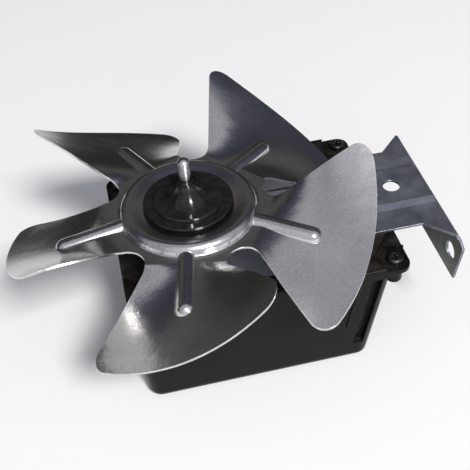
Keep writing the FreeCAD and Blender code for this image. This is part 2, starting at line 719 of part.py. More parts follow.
def coil_bobbin():
    """The moulded bobbin: a square tube on the coil's leg, a flange at each end and a pad for the tabs."""
    end = WINDOW_HALF_WIDTH - SEAT_GAP
    sleeve = bobbin_box(SEAT_GAP + BOBBIN_WALL, -end, end)
    flanges = [bobbin_box(BOBBIN_REACH, -end, -end + BOBBIN_FLANGE),
               bobbin_box(BOBBIN_REACH, end - BOBBIN_FLANGE, end)]
    face = CORE_RIGHT + BOBBIN_REACH
    middle = (CORE_BOTTOM + CORE_TOP) / 2
    pad = block(face - BOBBIN_LIP, face + TAB_PAD_HEIGHT, end - TAB_PAD_DEPTH, end,
                middle - TAB_SPACING, middle + TAB_SPACING)
    slots = [tab_blank(z, TAB_SLOT) for z in tab_heights()]
    return sleeve.fuse(flanges + [pad]).cut([bobbin_box(SEAT_GAP, -end - 1, end + 1)] + slots)


def coil_winding():
    """The wound wire with its wrap, a solid ring between the bobbin's flanges."""
    end = WINDOW_HALF_WIDTH - SEAT_GAP - BOBBIN_FLANGE
    inner = SEAT_GAP + BOBBIN_WALL
    ring = bobbin_box(inner + WINDING_THICKNESS, -end, end)
    along = [e for e in ring.Edges if abs(e.Vertexes[0].Y - e.Vertexes[1].Y) > 1]
    return ring.makeFillet(WINDING_CORNER, along).cut(bobbin_box(inner, -end, end))


def tab_heights():
    middle = (CORE_BOTTOM + CORE_TOP) / 2
    return (middle - TAB_SPACING / 2, middle + TAB_SPACING / 2)


def tab_blank(height, grow):
    """A tab's plate, standing out of the pad towards the right-hand wall. grow makes it the slot for it."""
    face = CORE_RIGHT + BOBBIN_REACH + TAB_PAD_HEIGHT
    y = WINDOW_HALF_WIDTH - SEAT_GAP - TAB_PAD_DEPTH / 2
    width = TAB_WIDTH / 2 + grow
    thickness = TAB_SHEET / 2 + grow
    return block(face - TAB_SEAT_DEPTH, face + TAB_LENGTH, y - thickness, y + thickness,
                 height - width, height + width)


def terminal_tabs():
    """Two push-on tabs standing in the bobbin's pad, each with its locking hole and chamfered end."""
    tabs = []
    for height in tab_heights():
        tab = tab_blank(height, 0.0)
        end = tab.BoundBox.XMax
        corners = [e for e in tab.Edges if e.BoundBox.XMin > end - 1e-3 and e.BoundBox.YLength > TAB_SHEET / 2
                   and e.BoundBox.ZLength < 1e-3]
        tab = tab.makeChamfer(TAB_CHAMFER, corners)
        start = Vector(end - TAB_HOLE_FROM_END, tab.BoundBox.YMin - TAB_SHEET, height)
        tabs.append(tab.cut(Part.makeCylinder(TAB_HOLE_RADIUS, TAB_SHEET * 3, start, Vector(0, 1, 0))))
    return Part.makeCompound(tabs)


def screw(x, y, seat, length, direction):
    """A pan-head cross-recess screw. Its head stands on the seat and its shank runs the other way."""
    top = SCREW_HEAD_HEIGHT
    shank = cylinder(SCREW_RADIUS, -length, 0)
    tip = Part.makeCone(SCREW_RADIUS / 2, SCREW_RADIUS, SCREW_RADIUS, Vector(0, 0, -length - SCREW_RADIUS))
    head = cylinder(SCREW_HEAD_RADIUS, 0, top)
    rim = [e for e in head.Edges if abs(e.BoundBox.ZMin - top) < 1e-6]
    head = head.makeFillet(SCREW_HEAD_ROUND, rim[:1])
    half = SCREW_DRIVE_WIDTH / 2
    reach = SCREW_DRIVE_REACH
    low = top - SCREW_DRIVE_DEPTH
    cross = [block(-reach, reach, -half, half, low, top), block(-half, half, -reach, reach, low, top)]
    whole = head.fuse([shank, tip]).cut(cross).removeSplitter()
    if direction < 0:
        whole.rotate(Vector(0, 0, 0), Vector(1, 0, 0), 180)
    whole.translate(Vector(x, y, seat))
    return whole


def motor_screws():
    """Two long screws from below, through both castings and the core, into the lid's posts."""
    seat = CORE_BOTTOM - BRACKET_STAND - BRACKET_BRIDGE / 2
    length = LID_UNDERSIDE - MOTOR_SCREW_SHORT - seat
    return Part.makeCompound([screw(x, y, seat, length, -1) for x, y in motor_screw_places()])


def corner_places():
    """The lid's four corner screws: inside the wall at the left end, outside it at the right end."""
    left = LID_LEFT + CORNER_SCREW_FROM_LEFT
    right = LID_RIGHT - CORNER_SCREW_FROM_RIGHT
    front = BOX_FRONT + CORNER_SCREW_FROM_FRONT
    back = BOX_BACK - CORNER_SCREW_FROM_FRONT
    return [(left, front), (right, front), (right, back), (left, back)]


def bracket_screw_places():
    sides = (BOX_CENTRE_Y - BRACKET_SCREW_HALF_SPACING, BOX_CENTRE_Y + BRACKET_SCREW_HALF_SPACING)
    return [(x, y) for x in BRACKET_SCREW_X for y in sides]


def housing_body():
    """The moulded box: tapered walls, a stepped rim, a blind slot near the right end of the front and back
    walls, a short rib beside it, and a boss for each lid screw."""
    lower = (BODY_LEFT_AT_FLOOR, BODY_RIGHT_AT_FLOOR, BODY_DEPTH_AT_FLOOR)
    upper = (BODY_LEFT_AT_RIM, BODY_RIGHT_AT_RIM, BODY_DEPTH_AT_RIM)
    outer = lofted_box(lower, upper, BODY_CORNER, 0, BODY_RIM_HEIGHT)
    outer = outer.makeFillet(BODY_FLOOR_ROUND, [e for e in outer.Edges if e.BoundBox.ZMax < 1e-3])
    wall = BODY_WALL
    corner = BODY_CORNER - wall
    inner_lower = (lower[0] + wall, lower[1] - wall, lower[2] - 2 * wall)
    inner_upper = (upper[0] + wall, upper[1] - wall, upper[2] - 2 * wall)
    hollow = lofted_box(inner_lower, inner_upper, corner, BODY_FLOOR, BODY_RIM_HEIGHT)
    opening = slab(*inner_upper, corner, BODY_RIM_HEIGHT - 1, LID_UNDERSIDE)
    rim = slab(LID_LEFT + RIM_INSET_LEFT, LID_RIGHT - RIM_INSET_RIGHT, LID_DEPTH - 2 * RIM_INSET_SIDE,
               RIM_CORNER, BODY_RIM_HEIGHT, LID_UNDERSIDE)
    bosses = [corner_boss(x, y) for x, y in corner_places()]
    linings = [wall_slot(side, SLOT_SKIN).common(outer) for side in (-1, 1)]
    shell = outer.fuse(rim).cut([hollow, opening]).fuse(bosses + linings + [wall_rib(-1), wall_rib(1)])
    depth = LID_SCREW_LENGTH + LID_SCREW_FREE
    holes = at_places(corner_places(), SCREW_RADIUS + PRESS_CLEARANCE, LID_UNDERSIDE - depth, LID_UNDERSIDE)
    mouth = Vector(GROMMET_X, back_wall(GROMMET_HEIGHT) - 2 * wall, GROMMET_HEIGHT)
    entry = Part.makeCylinder(GROMMET_NECK_RADIUS + LOOSE_CLEARANCE, 4 * wall, mouth, Vector(0, 1, 0))
    return shell.cut([wall_slot(-1, 0.0), wall_slot(1, 0.0), entry] + holes)


def corner_boss(x, y):
    """The blind boss under the rim that takes a lid screw, rounded at its foot."""
    foot = BODY_RIM_HEIGHT - CORNER_BOSS_DEPTH
    boss = cylinder(SCREW_RADIUS + CORNER_BOSS_WALL, foot, LID_UNDERSIDE, x, y)
    rim = [e for e in boss.Edges if e.BoundBox.ZMax < foot + 1e-3]
    return boss.makeFillet(BOSS_FOOT_ROUND, rim[:1])


def back_wall(height):
    """Where the outside of the back wall is at a height."""
    share = height / BODY_RIM_HEIGHT
    return BOX_CENTRE_Y + (BODY_DEPTH_AT_FLOOR + (BODY_DEPTH_AT_RIM - BODY_DEPTH_AT_FLOOR) * share) / 2


def right_wall(height):
    share = height / BODY_RIM_HEIGHT
    return BODY_RIGHT_AT_FLOOR + (BODY_RIGHT_AT_RIM - BODY_RIGHT_AT_FLOOR) * share


def wall_slot(side, skin):
    """The blind slot beside the right-hand corner, leaning with it. side is -1 at the front and 1 at the
    back; skin grows the slot into the lining round it."""
    past = SLOT_SKIN if skin == 0 else 0.0
    sections = []
    for height in (SLOT_BOTTOM - skin, BODY_RIM_HEIGHT + skin):
        right = right_wall(height) - SLOT_FROM_RIGHT + skin
        left = right - SLOT_WIDTH - 2 * skin
        depth = back_wall(height) - BOX_CENTRE_Y
        inner = BOX_CENTRE_Y + side * (depth - SLOT_DEPTH - skin)
        outer = BOX_CENTRE_Y + side * (depth + past)
        sections.append([Vector(left, inner, height), Vector(right, inner, height),
                         Vector(right, outer, height), Vector(left, outer, height)])
    return lofted(sections)


def wall_rib(side):
    """A low rib down the upper half of the wall."""
    sections = []
    for height in (WALL_RIB_BOTTOM, BODY_RIM_HEIGHT):
        right = right_wall(height) - WALL_RIB_FROM_RIGHT
        left = right - WALL_RIB_WIDTH
        depth = back_wall(height) - BOX_CENTRE_Y
        inner = BOX_CENTRE_Y + side * (depth - BODY_WALL / 2)
        outer = BOX_CENTRE_Y + side * (depth + WALL_RIB_PROUD)
        sections.append([Vector(left, inner, height), Vector(right, inner, height),
                         Vector(right, outer, height), Vector(left, outer, height)])
    return lofted(sections)


def housing_lid():
    """The moulded lid: edge band, a low platform cut away round the corner screws, a collar at the shaft,
    posts that the motor hangs from, bosses for the bracket's screws and a lip that finds the body."""
    plate = slab(LID_LEFT, LID_RIGHT, LID_DEPTH, LID_CORNER, LID_UNDERSIDE, LID_TOP)
    plate = plate.makeFillet(LID_EDGE_ROUND, [e for e in plate.Edges if e.BoundBox.ZMin > LID_TOP - 1e-3])
    inset = PLATFORM_INSET
    depth = LID_DEPTH - 2 * inset
    platform = slab(LID_LEFT + inset, LID_RIGHT - inset, depth, PLATFORM_CORNER, LID_TOP, STRAP_SEAT)
    boss = SCREW_RADIUS + BOSS_WALL
    collar = cylinder(SHAFT_HOLE_RADIUS + SHAFT_COLLAR_WALL, LID_TOP, STRAP_SEAT + SHAFT_COLLAR_RISE)
    post_foot = CORE_TOP + BRACKET_STAND + BRACKET_BRIDGE / 2
    posts = at_places(motor_screw_places(), boss, post_foot, LID_UNDERSIDE)
    boss_foot = STRAP_SEAT - BRACKET_SCREW_LENGTH - SCREW_RADIUS - BOSS_END
    bosses = at_places(bracket_screw_places(), boss, boss_foot, LID_UNDERSIDE)
    lid = plate.fuse([platform, locating_lip(), collar] + posts + bosses)
    lid = lid.cut([corner_pocket(x, y) for x, y in corner_places()])
    tight = SCREW_RADIUS + PRESS_CLEARANCE
    holes = at_places(corner_places(), SCREW_RADIUS + LOOSE_CLEARANCE, LID_UNDERSIDE, LID_TOP)
    holes += at_places(bracket_screw_places(), tight, boss_foot + BOSS_END / 2, STRAP_SEAT)
    holes += at_places(motor_screw_places(), tight, post_foot, LID_UNDERSIDE + POST_HOLE_PAST)
    return lid.cut(holes + [cylinder(SHAFT_HOLE_RADIUS, LID_UNDERSIDE, STRAP_SEAT + SHAFT_COLLAR_RISE)])


def corner_pocket(x, y):
    """The low corner of the lid's top: round about the screw, with a straight side running out to the end."""
    end = 1 if x > 0 else -1
    side = 1 if y > BOX_CENTRE_Y else -1
    low = LID_TOP - POCKET_DEPTH
    high = STRAP_SEAT + 1
    lean = math.radians(CORNER_POCKET_LEAN)
    inward = Vector(-end * math.cos(lean), -side * math.sin(lean), 0) * CORNER_POCKET_RADIUS
    along = Vector(end * math.sin(lean), -side * math.cos(lean), 0) * CORNER_POCKET_LENGTH
    start = Vector(x, y, 0)
    points = [start + inward, start + inward + along, start + along, start]
    straight = prism([(v.x, v.y) for v in points], low, high)
    outward = block(min(x, x + end * DEEP), max(x, x + end * DEEP), min(y, y + side * DEEP),
                    max(y, y + side * DEEP), low, high)
    return cylinder(CORNER_POCKET_RADIUS, low, high, x, y).fuse([straight, outward])


def locating_lip():
    """A thin wall under the lid, inside the body's opening, broken where the corner bosses stand."""
    gap = BODY_WALL + SEAT_GAP
    wide = gap + LOCATING_LIP_WALL
    bottom = LID_UNDERSIDE - LOCATING_LIP_DEPTH
    outlines = []
    for inset in (gap, wide):
        depth = BODY_DEPTH_AT_RIM - 2 * inset
        outlines.append(slab(BODY_LEFT_AT_RIM + inset, BODY_RIGHT_AT_RIM - inset, depth, BODY_CORNER - inset,
                             bottom, LID_UNDERSIDE))
    bosses = at_places(corner_places(), SCREW_RADIUS + CORNER_BOSS_WALL + SEAT_GAP, bottom, LID_UNDERSIDE)
    return outlines[0].cut([outlines[1]] + bosses)


def lid_screws():
    seat = LID_TOP - POCKET_DEPTH
    return Part.makeCompound([screw(x, y, seat, LID_SCREW_LENGTH, 1) for x, y in corner_places()])


def bracket_screws():
    seat = STRAP_SEAT + STRAP_SHEET
    return Part.makeCompound([screw(x, y, seat, BRACKET_SCREW_LENGTH, 1) for x, y in bracket_screw_places()])


def strap_section(lift):
    """The strap's section across its length: flat margins and a low raised web, one sheet thick."""
    half = PLATE_HALF_WIDTH
    web = WEB_HALF_WIDTH
    slope = WEB_HALF_WIDTH - WEB_SLOPE_WIDTH
    low = STRAP_SEAT
    high = STRAP_SEAT + WEB_RISE
    line = [(-half, low), (-web, low), (-slope, high), (slope, high), (web, low), (half, low)]
    return [(BOX_CENTRE_Y + y, z + lift) for y, z in line]


def mounting_bracket():
    """One pressed steel strap: a wide plate on the lid, a narrower arm with a raised web, flared ends and a
    flange bent down along the right end with a hole near each of its tips."""
    right = STRAP_RIGHT
    half = PLATE_HALF_WIDTH
    bend = END_BEND_RADIUS
    top = STRAP_SEAT + STRAP_SHEET
    corners = [Vector(PLATE_LEFT, y, z) for y, z in strap_section(0.0) + strap_section(STRAP_SHEET)[::-1]]
    section = Part.Face(Part.makePolygon(corners + corners[:1]))
    sheet = section.extrude(Vector(right - bend - PLATE_LEFT, 0, 0))
    narrow = STRAP_HALF_WIDTH
    end = END_HALF_WIDTH
    plan = [(PLATE_LEFT, -half), (PLATE_RIGHT - half + narrow, -half), (PLATE_RIGHT, -narrow),
            (right - bend - end + narrow, -narrow), (right - bend, -end)]
    front = [(x, BOX_CENTRE_Y + y) for x, y in plan]
    back = [(x, BOX_CENTRE_Y - y) for x, y in reversed(plan)]
    folded = sheet.common(prism(front + back, LID_UNDERSIDE, top + DEEP))
    arc_centre = Vector(right - bend, -DEEP, top - bend)
    across = Vector(0, 1, 0)
    outer = Part.makeCylinder(bend, 2 * DEEP, arc_centre, across)
    quarter = outer.cut(Part.makeCylinder(bend - STRAP_SHEET, 2 * DEEP, arc_centre, across))
    quarter = quarter.common(block(right - bend, right, -DEEP, DEEP, top - bend, top))
    end_plate = block(right - STRAP_SHEET, right, -DEEP, DEEP, top - END_FLANGE_HEIGHT, top - bend)
    whole = folded.fuse(quarter.fuse(end_plate).common(end_outline(top, top - END_FLANGE_HEIGHT)))
    holes = [end_hole(-1), end_hole(1), cylinder(PLATE_SHAFT_HOLE_RADIUS, LID_TOP, top + DEEP)]
    holes.append(cylinder(WEB_HOLE_RADIUS, LID_TOP, top + DEEP, WEB_HOLE_X, BOX_CENTRE_Y))
    holes += at_places(bracket_screw_places(), SCREW_RADIUS + LOOSE_CLEARANCE, LID_TOP, top + DEEP)
    return whole.cut(holes)


def end_hole(side):
    start = Vector(STRAP_RIGHT - 2 * STRAP_SHEET, BOX_CENTRE_Y + side * END_HOLE_HALF_SPACING,
                   STRAP_SEAT + STRAP_SHEET - END_HOLE_DEPTH)
    return Part.makeCylinder(END_HOLE_RADIUS, 4 * STRAP_SHEET, start, Vector(1, 0, 0))


def end_outline(top, bottom):
    """The bent-down flange's outline seen along the strap: it swells below the bend, more at the front."""
    ear = top - END_EAR_DEPTH
    points = [(-END_FOOT_HALF, bottom), (END_HALF_WIDTH, bottom), (END_HALF_WIDTH + END_BACK_EAR, ear),
              (END_HALF_WIDTH, top), (-END_HALF_WIDTH, top), (-END_HALF_WIDTH - END_FRONT_EAR, ear)]
    corners = [Vector(STRAP_RIGHT - DEEP, BOX_CENTRE_Y + y, z) for y, z in points]
    return Part.Face(Part.makePolygon(corners + corners[:1])).extrude(Vector(2 * DEEP, 0, 0))


def cable_grommet():
    """A rubber bush snapped into the back wall, its groove fitting the wall's thickness."""
    outside = back_wall(GROMMET_HEIGHT) + SEAT_GAP
    inside = back_wall(GROMMET_HEIGHT) - BODY_WALL - SEAT_GAP
    bore = GROMMET_BORE_RADIUS
    neck = GROMMET_NECK_RADIUS
    flange = GROMMET_FLANGE_RADIUS
    soft = GROMMET_CHAMFER
    section = [(bore, inside - GROMMET_FLANGE), (flange - soft, inside - GROMMET_FLANGE), (flange, inside),
               (neck, inside), (neck, outside), (flange, outside), (flange - soft, outside + GROMMET_FLANGE),
               (bore, outside + GROMMET_FLANGE)]
    corners = [Vector(GROMMET_X + r, y, GROMMET_HEIGHT) for r, y in section]
    face = Part.Face(Part.makePolygon(corners + corners[:1]))
    return face.revolve(Vector(GROMMET_X, 0, GROMMET_HEIGHT), Vector(0, 1, 0), 360)


def build():
    return {
        "fan_blades": fan_blades(),
        "fan_hub": fan_hub(),
        "rotor_shaft": rotor_shaft(),
        "rotor_core": rotor_core(),
        "rotor_cage": rotor_cage(),
        "thrust_washers": thrust_washers(),
        "front_bearing": bearing(FRONT_BEARING_HEIGHT),
        "rear_bearing": bearing(REAR_BEARING_HEIGHT),
        "front_bearing_bracket": bearing_bracket(1),
        "rear_bearing_bracket": bearing_bracket(-1),
        "front_oil_felt": oil_felt(1),
        "rear_oil_felt": oil_felt(-1),
        "front_bearing_retainer": bearing_retainer(1),
        "rear_bearing_retainer": bearing_retainer(-1),
        "stator_core": stator_core(),
        "coil_yoke": coil_yoke(),
        "shading_rings": shading_rings(),
        "coil_bobbin": coil_bobbin(),
        "coil_winding": coil_winding(),
        "terminal_tabs": terminal_tabs(),
        "motor_screws": motor_screws(),
        "housing_body": housing_body(),
        "housing_lid": housing_lid(),
        "lid_screws": lid_screws(),
        "mounting_bracket": mounting_bracket(),
        "bracket_screws": bracket_screws(),
        "cable_grommet": cable_grommet(),
    }


os.makedirs("parts", exist_ok=True)
for name, shape in build().items():
    print(name, shape.isValid(), "solids", len(shape.Solids), "volume", round(shape.Volume, 1))
    shape.exportStep("parts/" + name + ".step")
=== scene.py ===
"""Freezer fan motor: the looks of each piece, the studio round it and the photograph's viewpoint."""
import bpy
import math
from mathutils import Matrix, Vector

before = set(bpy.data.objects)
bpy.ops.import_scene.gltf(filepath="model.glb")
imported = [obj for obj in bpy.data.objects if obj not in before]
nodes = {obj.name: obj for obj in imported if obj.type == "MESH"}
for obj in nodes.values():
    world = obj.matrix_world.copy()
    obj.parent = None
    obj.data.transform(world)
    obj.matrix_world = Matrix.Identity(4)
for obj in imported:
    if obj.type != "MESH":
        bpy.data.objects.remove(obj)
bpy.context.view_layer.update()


# Housing body and lid: two black boxes moulded in filled plastic. The moulds were spark-eroded, so the
# walls carry a soft, even grain. Handling has dulled them unevenly, and dust lies on what faces up.
def add_node(tree, kind, values=None, **settings):
    """A shader node with the values of its inputs and its own settings."""
    made = tree.nodes.new("ShaderNode" + kind)
    for name, value in settings.items():
        setattr(made, name, value)
    for name, value in (values or {}).items():
        made.inputs[name].default_value = value
    return made


def new_finish(name, colour, metallic, roughness):
    """A material with its Principled shader's sockets and the object coordinates its patterns follow."""
    finish = bpy.data.materials.new(name)
    finish.use_nodes = True
    tree = finish.node_tree
    shader = tree.nodes["Principled BSDF"].inputs
    shader["Base Color"].default_value = (*colour, 1.0)
    shader["Metallic"].default_value = metallic
    shader["Roughness"].default_value = roughness
    return finish, tree, shader, add_node(tree, "TexCoord").outputs["Object"]


def give(finish, *names):
    """Puts a finish on CAD nodes, whose meshes stay as they are."""
    for name in names:
        for place in nodes[name].material_slots:
            place.material = finish


def new_group(name, numbers, output):
    """A node group that takes a place on the surface and named numbers, and puts out one named value."""
    group = bpy.data.node_groups.new(name, "ShaderNodeTree")
    group.interface.new_socket("Place", in_out="INPUT", socket_type="NodeSocketVector")
    for label, value in numbers.items():
        socket = group.interface.new_socket(label, in_out="INPUT", socket_type="NodeSocketFloat")
        socket.default_value = value
    group.interface.new_socket(output, in_out="OUTPUT", socket_type="NodeSocketFloat")
    start = group.nodes.new("NodeGroupInput").outputs
    end = group.nodes.new("NodeGroupOutput").inputs[output]
    return group, start, end


def use_group(tree, group, place, **numbers):
    """A group placed in a material with its own numbers. What comes back is its output."""
    made = tree.nodes.new("ShaderNodeGroup")
    made.node_tree = group
    tree.links.new(place, made.inputs["Place"])
    for name, value in numbers.items():
        made.inputs[name].default_value = value
    return made.outputs[0]


def noise(tree, place, scale, detail=2.0, roughness=0.5, distortion=0.0):
    """Cloudy noise from 0 to 1. Its scale is a number, or a socket inside a group."""
    cloud = add_node(tree, "TexNoise", {"Detail": detail, "Roughness": roughness, "Distortion": distortion})
    tree.links.new(place, cloud.inputs["Vector"])
    if isinstance(scale, float):
        cloud.inputs["Scale"].default_value = scale
    else:
        tree.links.new(scale, cloud.inputs["Scale"])
    return cloud.outputs["Fac"]


def stretch(tree, value, none_at, full_at, top=1.0):
    """A value spread out: 0 where it was none_at, the top where it was full_at, and level beyond both."""
    spread = add_node(tree, "MapRange", {"From Min": none_at, "From Max": full_at, "To Max": top})
    tree.links.new(value, spread.inputs["Value"])
    return spread.outputs["Result"]


def product(tree, first, second):
    """Two values multiplied, so that a mask shows only where both are high."""
    times = add_node(tree, "Math", operation="MULTIPLY")
    tree.links.new(first, times.inputs[0])
    tree.links.new(second, times.inputs[1])
    return times.outputs[0]


def facing(tree):
    """Which way the surface faces, as the X, Y and Z of its normal."""
    parts = add_node(tree, "SeparateXYZ")
    tree.links.new(add_node(tree, "NewGeometry").outputs["Normal"], parts.inputs["Vector"])
    return parts.outputs


def blended(tree, share, first, second):
    """The colour between two, at a share that changes over the surface. The first may be a socket."""
    mix = add_node(tree, "Mix", data_type="RGBA")
    first_colour, second_colour, result = mix.inputs[6], mix.inputs[7], mix.outputs[2]
    tree.links.new(share, mix.inputs["Factor"])
    if isinstance(first, tuple):
        first_colour.default_value = (*first, 1.0)
    else:
        tree.links.new(first, first_colour)
    second_colour.default_value = (*second, 1.0)
    return result


def softened(tree, radius):
    """A normal that rounds off every sharp edge by a radius."""
    return add_node(tree, "Bevel", {"Radius": radius}).outputs["Normal"]


def raised(tree, height, depth, strength, onto=None):
    """A bump normal from a height, over the normal of another bump or a softened edge where one is given."""
    bump = add_node(tree, "Bump", {"Distance": depth, "Strength": strength})
    tree.links.new(height, bump.inputs["Height"])
    if onto is not None:
        tree.links.new(onto, bump.inputs["Normal"])
    return bump.outputs["Normal"]


# The middle of the noise, where most of it lies, is spread over the whole way from low to high.
patches, start, end = new_group("uneven_patches", {"Scale": 30.0, "Low": 0.3, "High": 0.5}, "Value")
drift = add_node(patches, "MapRange", {"From Min": 0.32, "From Max": 0.68})
clouds = noise(patches, start["Place"], start["Scale"], detail=6.0, roughness=0.62)
patches.links.new(clouds, drift.inputs["Value"])
patches.links.new(start["Low"], drift.inputs["To Min"])
patches.links.new(start["High"], drift.inputs["To Max"])
patches.links.new(drift.outputs["Result"], end)

# Dust lies where the normal's Z is high, in patches.
settled, start, end = new_group("settled_dust", {"Scale": 60.0, "Amount": 0.5}, "Mask")
flat = stretch(settled, facing(settled)["Z"], none_at=0.35, full_at=0.95)
clouds = noise(settled, start["Place"], start["Scale"], detail=9.0, roughness=0.75)
patchy = stretch(settled, clouds, none_at=0.42, full_at=0.72)
settled.links.new(product(settled, product(settled, flat, patchy), start["Amount"]), end)

# Near an edge the rounded normal leans away from the true one, and the cosine between them drops below 1.
worn, start, end = new_group("worn_edges", {"Width": 0.0006, "Scale": 400.0, "Amount": 1.0}, "Mask")
rounded = add_node(worn, "Bevel", samples=6)
worn.links.new(start["Width"], rounded.inputs["Radius"])
turning = add_node(worn, "VectorMath", operation="DOT_PRODUCT")
worn.links.new(rounded.outputs["Normal"], turning.inputs[0])
worn.links.new(add_node(worn, "NewGeometry").outputs["Normal"], turning.inputs[1])
edge = stretch(worn, turning.outputs["Value"], none_at=0.995, full_at=0.90)
clouds = noise(worn, start["Place"], start["Scale"], detail=4.0)
broken = stretch(worn, clouds, none_at=0.35, full_at=0.60)
worn.links.new(product(worn, product(worn, edge, broken), start["Amount"]), end)


def uneven(tree, place, scale, low, high):
    """A number that drifts between low and high in soft patches over the surface."""
    return use_group(tree, patches, place, Scale=scale, Low=low, High=high)


def moulded_plastic(name, colour, rubbed, dust, roughness, grain_scale, grain_depth, dustiness, wear):
    """A moulded plastic: grain from the mould, uneven gloss, rubbed edges and dust on what faces up."""
    finish, tree, shader, place = new_finish(name, colour, 0.0, roughness)
    shader["Specular IOR Level"].default_value = 0.12
    handled = uneven(tree, place, scale=22.0, low=0.0, high=0.5)
    edges = use_group(tree, worn, place, Width=0.0007, Scale=350.0, Amount=wear)
    lying = use_group(tree, settled, place, Scale=90.0, Amount=dustiness)
    edge_colour = tuple(min(1.0, 2.2 * value) for value in rubbed)
    cover = blended(tree, handled, colour, rubbed)
    cover = blended(tree, edges, cover, edge_colour)
    cover = blended(tree, lying, cover, dust)
    tree.links.new(cover, shader["Base Color"])
    dull = uneven(tree, place, scale=45.0, low=roughness - 0.06, high=roughness + 0.12)
    tree.links.new(dull, shader["Roughness"])
    sink_marks = uneven(tree, place, scale=38.0, low=0.0, high=1.0)
    sunk = raised(tree, sink_marks, depth=0.00025, strength=0.25, onto=softened(tree, 0.0005))
    grain = noise(tree, place, grain_scale, detail=3.0)
    tree.links.new(raised(tree, grain, grain_depth, strength=0.5, onto=sunk), shader["Normal"])
    return finish


housing_finish = moulded_plastic("housing_plastic", colour=(0.005, 0.0044, 0.0038),
                                 rubbed=(0.010, 0.0084, 0.007), dust=(0.20, 0.185, 0.17), roughness=0.30,
                                 grain_scale=2400.0, grain_depth=0.00004, dustiness=0.14, wear=0.6)
give(housing_finish, "housing_body", "housing_lid")


# Stator: thin electrical-steel sheets, stamped to a C and riveted in a stack, with the leg that holds the
# coil pressed in as a stack of its own. The rotor's stack is stamped from the same sheet.
LAMINATION = 0.0005
BARE_STEEL = (0.36, 0.36, 0.38)


def bands(tree, place, pitch, direction, profile, distortion, detail):
    """Stripes at a pitch in metres. A wave texture at scale 1 repeats every 0.314 m."""
    wave = add_node(tree, "TexWave", {"Scale": 0.314 / pitch, "Distortion": distortion, "Detail": detail},
                    wave_type="BANDS", bands_direction=direction, wave_profile=profile)
    tree.links.new(place, wave.inputs["Vector"])
    return wave.outputs["Fac"]


core_finish, tree, shader, place = new_finish("core_steel", BARE_STEEL, 1.0, 0.42)
oxide = uneven(tree, place, scale=70.0, low=0.0, high=0.6)
tree.links.new(blended(tree, oxide, BARE_STEEL, (0.20, 0.17, 0.15)), shader["Base Color"])
tree.links.new(uneven(tree, place, scale=120.0, low=0.34, high=0.58), shader["Roughness"])
layers = bands(tree, place, LAMINATION, "Z", "SAW", distortion=0.4, detail=1.0)
tree.links.new(raised(tree, layers, depth=0.00008, strength=0.7), shader["Normal"])
give(core_finish, "stator_core", "coil_yoke", "rotor_core")


# Coil: enamelled copper wire wound in layers on a white nylon bobbin, whose pad holds two brass tabs.
# A bare copper ring round part of each pole makes the field turn.
WIRE_PITCH = 0.0004
RING_DRAWING_PITCH = 0.0012


def copper(name, colour, pitch, direction, depth):
    """Copper with the stripes of its turns or its drawing, and darker stains."""
    finish, tree, shader, place = new_finish(name, colour, 1.0, 0.25)
    stain = tuple(0.6 * value for value in colour)
    stained = uneven(tree, place, scale=80.0, low=0.0, high=0.7)
    tree.links.new(blended(tree, stained, colour, stain), shader["Base Color"])
    tree.links.new(uneven(tree, place, scale=150.0, low=0.18, high=0.40), shader["Roughness"])
    turns = bands(tree, place, pitch, direction, "SIN", distortion=0.6, detail=1.5)
    tree.links.new(raised(tree, turns, depth, strength=0.8), shader["Normal"])
    return finish


give(copper("winding_copper", colour=(0.62, 0.25, 0.10), pitch=WIRE_PITCH, direction="Y", depth=0.0002),
     "coil_winding")
give(copper("ring_copper", colour=(0.76, 0.38, 0.22), pitch=RING_DRAWING_PITCH, direction="DIAGONAL",
            depth=0.00003), "shading_rings")
give(moulded_plastic("bobbin_plastic", colour=(0.80, 0.78, 0.72), rubbed=(0.66, 0.62, 0.54),
                     dust=(0.52, 0.48, 0.42), roughness=0.42, grain_scale=1800.0, grain_depth=0.00003,
                     dustiness=0.10, wear=0.2), "coil_bobbin")


def drawn_out(tree, place, scale, turn=0.0):
    """A place squeezed more one way than the other, so that noise on it becomes streaks."""
    along = add_node(tree, "Mapping", {"Scale": scale, "Rotation": (0.0, 0.0, math.radians(turn))})
    tree.links.new(place, along.inputs["Vector"])
    return along.outputs["Vector"]


def bare_metal(name, colour, stain, low, high, grain, depth):
    """Plain metal: a grain from rolling, drawing or grinding, stains, and a roughness from low to high."""
    finish, tree, shader, place = new_finish(name, colour, 1.0, low)
    stained = uneven(tree, place, scale=110.0, low=0.0, high=0.5)
    tree.links.new(blended(tree, stained, colour, stain), shader["Base Color"])
    tree.links.new(uneven(tree, place, scale=60.0, low=low, high=high), shader["Roughness"])
    streaks = noise(tree, drawn_out(tree, place, grain), scale=1.0, detail=4.0, roughness=0.6)
    bumps = raised(tree, streaks, depth, strength=0.5, onto=softened(tree, 0.00025))
    tree.links.new(bumps, shader["Normal"])
    return finish


give(bare_metal("tab_brass", colour=(0.78, 0.60, 0.28), stain=(0.52, 0.40, 0.20), low=0.25, high=0.45,
                grain=(300.0, 300.0, 2500.0), depth=0.00002), "terminal_tabs")


# Bearings: oil-filled sintered bronze bushes, cut from balls so that they line up by themselves. A die-cast
# bridge holds each, with a felt ring of oil behind it and a pressed retainer over the felt.
def cast_metal(name, colour, stain, low, high, pore_scale, depth):
    """Cast or sintered metal: pores, cloudy stains, and a roughness from low to high."""
    finish, tree, shader, place = new_finish(name, colour, 1.0, low)
    cloudy = uneven(tree, place, scale=120.0, low=0.0, high=0.8)
    tree.links.new(blended(tree, cloudy, colour, stain), shader["Base Color"])
    tree.links.new(uneven(tree, place, scale=90.0, low=low, high=high), shader["Roughness"])
    pores = noise(tree, place, pore_scale, detail=5.0, roughness=0.7)
    tree.links.new(raised(tree, pores, depth, strength=0.6), shader["Normal"])
    return finish


